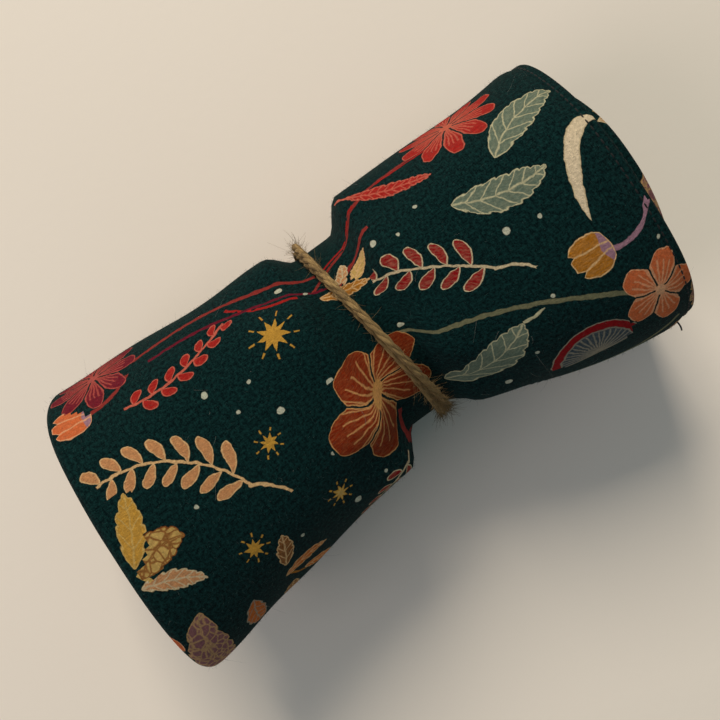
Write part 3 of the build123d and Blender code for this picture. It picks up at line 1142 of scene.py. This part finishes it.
def add_stitches(name, rows, node):
    """One piece of all the stitches in some rows of paths and outward directions."""
    found = [stitch_lines(path, out, stitch_pitch, stitch_length) for path, out in rows]
    lines, up = (np.concatenate(part) for part in zip(*found))
    points, faces, surface = tubes(lines, np.full(lines.shape[:2], stitch_radius), up, 6)
    piece = make_piece(name, points, faces, sewing_thread, surface)
    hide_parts(node)


round_turns = spaced(0.012, turns - 0.01, 0.004)
end_rows = []
for depth, facing in ((seam_dip(stitch_x), 1), (lining_face - seam_dip(stitch_x), -1)):
    path = cloth_points(stitch_x, round_turns, depth)
    end_rows.append((path, facing * from_axis(path)))
edge_along = spaced(left_end + 6, right_end - 3, 2)
sunk_in_track = 0.3 * (np.abs(edge_along - waist[0]) < groove_half_width + 3)
loose_edge_path = cloth_points(edge_along, 0.0125, sunk_in_track)
end_rows.append((loose_edge_path, from_axis(loose_edge_path)))
add_stitches("end_stitches", end_rows, "end_topstitch")

pocket_rows = []
for number in range(1, pocket_count):
    turn = pocket_first_turn + (turns - pocket_first_turn) * number / pocket_count
    path = cloth_points(spaced(left_end + 3, pocket_mouth - 1, 2), turn, pocket_face)
    pocket_rows.append((path, -from_axis(path)))
for inside in (2.0, hem_width - 2.0):
    path = cloth_points(pocket_mouth - inside, spaced(0.11, turns - 0.02, 0.005),
                        pocket_face + 0.9)
    pocket_rows.append((path, -from_axis(path)))
add_stitches("pocket_stitches", pocket_rows, "pocket_seams")

# ---- the thread's cut end, curling away from the panel's corner ----
corner = cloth_points(stitch_x, 0.006, 0.9)
share = np.linspace(0, 1, 14)[:, None]
tail = corner + share * (0.6, -6.6, -1.6) + np.sin(share * 3.0) * (0.9, -0.6, -0.6)
points, faces, surface = tubes(tail[None], np.full((1, 14), 0.32), (1, 0, 0), 8)
loose_thread = make_piece("loose_thread", points, faces, sewing_thread, surface)
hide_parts("thread_tail")


# ======== twine ========

tie_lean = 4.6
knot_angle = 256.0
knot_size = (8.0, 9.0, 6.0)
turn_gap = 0.06
ply_radius = 0.76
ply_offset = 0.64
ply_lay = 15.3  # one turn of the plies takes this length
ply_sides = 10
whole_winding = 716.0  # degrees: two turns, less the knot

# stretches of the winding, as start and length in degrees from the knot
climbs = (78, 34)
falls = (205, 62)
crosses_over = (322, 36)
returns_to_middle = (682, 34)
lifts_to_knot = (672, 28)
lean_across = np.array([-tie_lean, waist_radius, 0]) / np.hypot(tie_lean, waist_radius)
tie_axis = np.array([lean_across[1], -lean_across[0], 0])
ring_radius = (twine_high[2] - twine_low[2] - strand_diameter) / 2
ring_offset = (strand_diameter + turn_gap) / 2
draw = np.random.default_rng(11)


def ring_frame(angle):
    """Directions away from the ring's axis and along it at angles in degrees."""
    turned = np.radians(angle)[..., None]
    out = lean_across * np.cos(turned) + np.array([0, 0, 1]) * np.sin(turned)
    return out, np.broadcast_to(tie_axis, out.shape)


def passed(wound, stretch_of_winding):
    """Rise from 0 to 1 over a stretch of the winding."""
    start, length = stretch_of_winding
    return smooth_step((wound - start) / length)


def twine_path(wound):
    """Centre line of the twine, wound so many degrees from the knot, with its directions.

    The first turn runs on the left of the track, passes under the knot, and the second runs on
    the right.  Over the roll the second turn climbs partly onto the first, so that both lie
    closer together there, and its last part rises to the knot.
    """
    out, side = ring_frame(knot_angle + wound)
    second = wound > 360
    climb = np.where(second, wound - 360, wound)
    close = passed(climb, climbs) * (1 - passed(climb, falls))
    offset = ring_offset * (2 * passed(wound, crosses_over) - 1)
    offset = offset * (1 - 0.62 * close) - ring_offset * passed(wound, returns_to_middle)
    offset = offset + 0.16 * np.sin(np.radians(wound * 2.6)) * smooth_step(wound / 60)
    rise = 2.3 * passed(wound, lifts_to_knot) + np.where(second, 2.35 * close, 0.0)
    path = waist + out * (ring_radius + rise)[..., None] + side * offset[..., None]
    return path, out, side


def lay_plies(path, out, side, start, radius=None, spread=None):
    """Three plies that wind round a path: offset x (cos, sin) at a phase of length / lay."""
    steps = np.linalg.norm(np.diff(path, axis=0), axis=-1)
    length = np.concatenate([[0], np.cumsum(steps)])
    phase = full_turn * (length / ply_lay + start)
    offset = (np.full(len(path), ply_offset) if spread is None else spread)[:, None]
    lines = [path + offset * (out * np.cos(phase + turn)[:, None]
                              + side * np.sin(phase + turn)[:, None])
             for turn in full_turn * np.arange(3) / 3]
    radii = np.full(len(path), ply_radius) if radius is None else radius
    uneven = 1 + 0.07 * np.sin(length * 1.9 + start * 5) * np.sin(length * 0.61)
    return np.stack(lines), np.broadcast_to(radii * uneven, (3, len(path)))


def add_twine(name, parts, node):
    """One piece of several runs of plies."""
    meshes = [tubes(lines, radii, up, ply_sides) for lines, radii, up in parts]
    counts = np.cumsum([0] + [len(points) for points, _, _ in meshes[:-1]])
    points = np.concatenate([mesh[0] for mesh in meshes])
    faces = np.concatenate([mesh[1] + first for mesh, first in zip(meshes, counts)])
    surface = np.concatenate([mesh[2] for mesh in meshes])
    piece = make_piece(name, points, faces, jute, surface, body="tie")
    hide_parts(node)


path, out, side = twine_path(spaced(0, whole_winding, 1.3))
lines, radii = lay_plies(path, out, side, 0.1)
add_twine("twine_strands", [(lines, radii, side)], "twine_turns")

# ---- knot: a trefoil of the same twine ----
knot_out, knot_side = ring_frame(np.array(knot_angle))
knot_along = np.cross(knot_out, knot_side)
knot_middle = waist + knot_out * (ring_radius + strand_diameter / 2 + 2.9)
loop = np.linspace(0, full_turn, 90)
reach = np.array(knot_size) / 2 - strand_diameter / 2
knot_path = knot_middle \
    + (np.sin(loop) + 2 * np.sin(2 * loop))[:, None] / 2.6 * reach[0] * knot_side \
    + (np.cos(loop) - 2 * np.cos(2 * loop))[:, None] / 2.9 * reach[1] * knot_along \
    - np.sin(3 * loop)[:, None] * reach[2] * knot_out
tangent = np.gradient(knot_path, axis=0)
tangent /= np.linalg.norm(tangent, axis=-1, keepdims=True)
across = np.cross(tangent, knot_out + 0.3 * knot_along)
across /= np.linalg.norm(across, axis=-1, keepdims=True)
lines, radii = lay_plies(knot_path, np.cross(across, tangent), across, 0.4)
add_twine("twine_knot_loops", [(lines, radii, across)], "twine_knot")

# ---- the two trimmed ends, whose plies open ----
end_runs = []
for direction in (-1, 1):
    share = np.linspace(0, 1, 26)
    angle = knot_angle + direction * (4.5 + 19.5 * share)
    out, side = ring_frame(angle)
    path = waist + out * (ring_radius + strand_diameter + 0.5 + 0.5 * share)[:, None] \
        + side * (-direction * ring_offset - direction * 0.8 * share)[:, None]
    lines, radii = lay_plies(path, out, side, 0.2 * direction, ply_radius * (1 - 0.2 * share),
                             ply_offset * (1 + 1.1 * smooth_step((share - 0.35) / 0.65)))
    end_runs.append((lines, radii, side))
add_twine("twine_tails", end_runs, "twine_ends")


# ---- loose fibres of the twine ----

hair_up = (0.31, 0.42, 0.85)  # a direction that no hair follows exactly


def hairs(roots, directions, lengths, radius, curl, rings=6):
    """Thin curved tubes: root + length x (u x direction + u^2 x curl), thinner at their tips."""
    share = np.linspace(0, 1, rings)[None, :, None]
    lines = roots[:, None] + lengths[:, None, None] * (share * directions[:, None]
                                                       + share ** 2 * curl[:, None])
    radii = np.broadcast_to(radius * (1 - 0.6 * share[..., 0]), lines.shape[:2])
    return tubes(lines, radii, hair_up, 4)


fibre_count = 1500
fibre_radius = 0.055
sideways_reach = 3.4  # keeps the fibres within the track
outward_reach = 6.5  # keeps them above the floor
worn_sides = (228, 292)  # every third fibre stands here, in either turn
third = (fibre_count + 2) // 3
wound = draw.uniform(0, whole_winding, fibre_count)
wound[::3] = draw.uniform(*worn_sides, third) + 360 * (draw.random(third) > 0.5)
path, out, side = twine_path(wound)
around = draw.uniform(-1.25, 1.25, fibre_count)[:, None]
away = out * np.cos(around) + side * np.sin(around)
along_path = np.cross(out, side)
directions = away * draw.uniform(0.15, 1.0, (fibre_count, 1)) \
    + along_path * draw.normal(0, 0.75, (fibre_count, 1)) \
    + side * draw.normal(0, 0.45, (fibre_count, 1))
directions /= np.linalg.norm(directions, axis=-1, keepdims=True)
lengths = np.clip(draw.lognormal(0.9, 0.6, fibre_count), 0.8, 12.0)
sideways = np.abs(np.sum(directions * side, axis=-1))
lengths = np.minimum(lengths, sideways_reach / np.maximum(sideways, 0.1))
outward = np.abs(np.sum(directions * out, axis=-1))
lengths = np.minimum(lengths, outward_reach / np.maximum(outward, 0.1))
curl = draw.normal(0, 0.28, (fibre_count, 3))
curl -= out * np.minimum(np.sum(curl * out, axis=-1, keepdims=True), 0)
points, faces, surface = hairs(path + away * strand_diameter * 0.45, directions, lengths,
                               fibre_radius, curl)
fuzz = make_piece("twine_fuzz", points, faces, jute, surface, body="tie")
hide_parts("twine_turns")


# ---- the cloth's nap, and a few longer hairs that have caught on it ----

def cloth_hairs(name, material, count, shortest, longest, radius, curl, rings, rise):
    """Hairs that stand on the outermost turn, away from the tie's track and from the floor.

    Each root's direction out of the cloth is the cross product of the two slopes there.
    """
    along = draw.uniform(left_end + 1, right_end - 1, count)
    turn = draw.uniform(0.002, 1.0, count)
    along = along[np.abs(along - waist[0]) > groove_half_width + 3]
    turn = turn[:len(along)]
    root = cloth_points(along, turn, seam_dip(along))
    slope_x = cloth_points(along + 0.5, turn, seam_dip(along + 0.5)) - root
    slope_turn = cloth_points(along, turn + 0.002, seam_dip(along)) - root
    out = np.cross(slope_turn, slope_x)
    out /= np.maximum(np.linalg.norm(out, axis=-1, keepdims=True), 1e-9)
    out *= np.sign(np.sum(out * (root - waist) * (0, 1, 1), axis=-1, keepdims=True))
    direction = out * draw.uniform(*rise, (len(along), 1)) \
        + draw.normal(0, 0.6, (len(along), 3))
    direction /= np.linalg.norm(direction, axis=-1, keepdims=True)
    direction += out * np.maximum(-np.sum(direction * out, axis=-1, keepdims=True), 0) * 1.2
    length = draw.uniform(shortest, longest, len(along))
    bend = draw.normal(0, curl, (len(along), 3))
    tip = root + length[:, None] * (direction + bend)
    keep = np.minimum(root[:, 2], tip[:, 2]) > 1.0
    points, faces, surface = hairs(root[keep], direction[keep], length[keep], radius,
                                   bend[keep], rings)
    piece = make_piece(name, points, faces, material, surface)
    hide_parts("outer_panel")


nap_fibre = make_strand("nap_fibre", (0.006, 0.022, 0.022), (0.05, 0.11, 0.10),
                        lay=1.0, depth=0.02, sheen=0.1)
lint_fibre = make_strand("lint_fibre", (0.10, 0.11, 0.10), (0.40, 0.40, 0.34),
                         lay=1.0, depth=0.02, sheen=0.1)
cloth_hairs("cloth_nap", nap_fibre, count=9000, shortest=0.5, longest=1.3, radius=0.028,
            curl=0.25, rings=3, rise=(0.5, 1.0))
cloth_hairs("cloth_lint", lint_fibre, count=130, shortest=2.0, longest=6.5, radius=0.026,
            curl=0.5, rings=7, rise=(0.05, 0.5))


# ======== floor ========

def add_floor():
    """A pale matt table top under the roll."""
    material, tree, shader = new_material("table_top", 0.6)
    place = Signal(tree.nodes.new("ShaderNodeTexCoord").outputs["Object"])
    cloud = noise(place, 2.2, 2.0)
    feed(shader.inputs["Base Color"], blend(cloud, (0.78, 0.72, 0.62), (0.86, 0.81, 0.71)))
    add_bump(tree, shader, noise(place, 260.0, 3.0), 0.05)
    mesh = bpy.data.meshes.new("floor")
    size = 3.0
    mesh.from_pydata([(-size, -size, 0), (size, -size, 0), (size, size, 0), (-size, size, 0)],
                     [], [(0, 1, 2, 3)])
    mesh.materials.append(material)
    floor = bpy.data.objects.new("floor", mesh)
    bpy.context.collection.objects.link(floor)


add_floor()
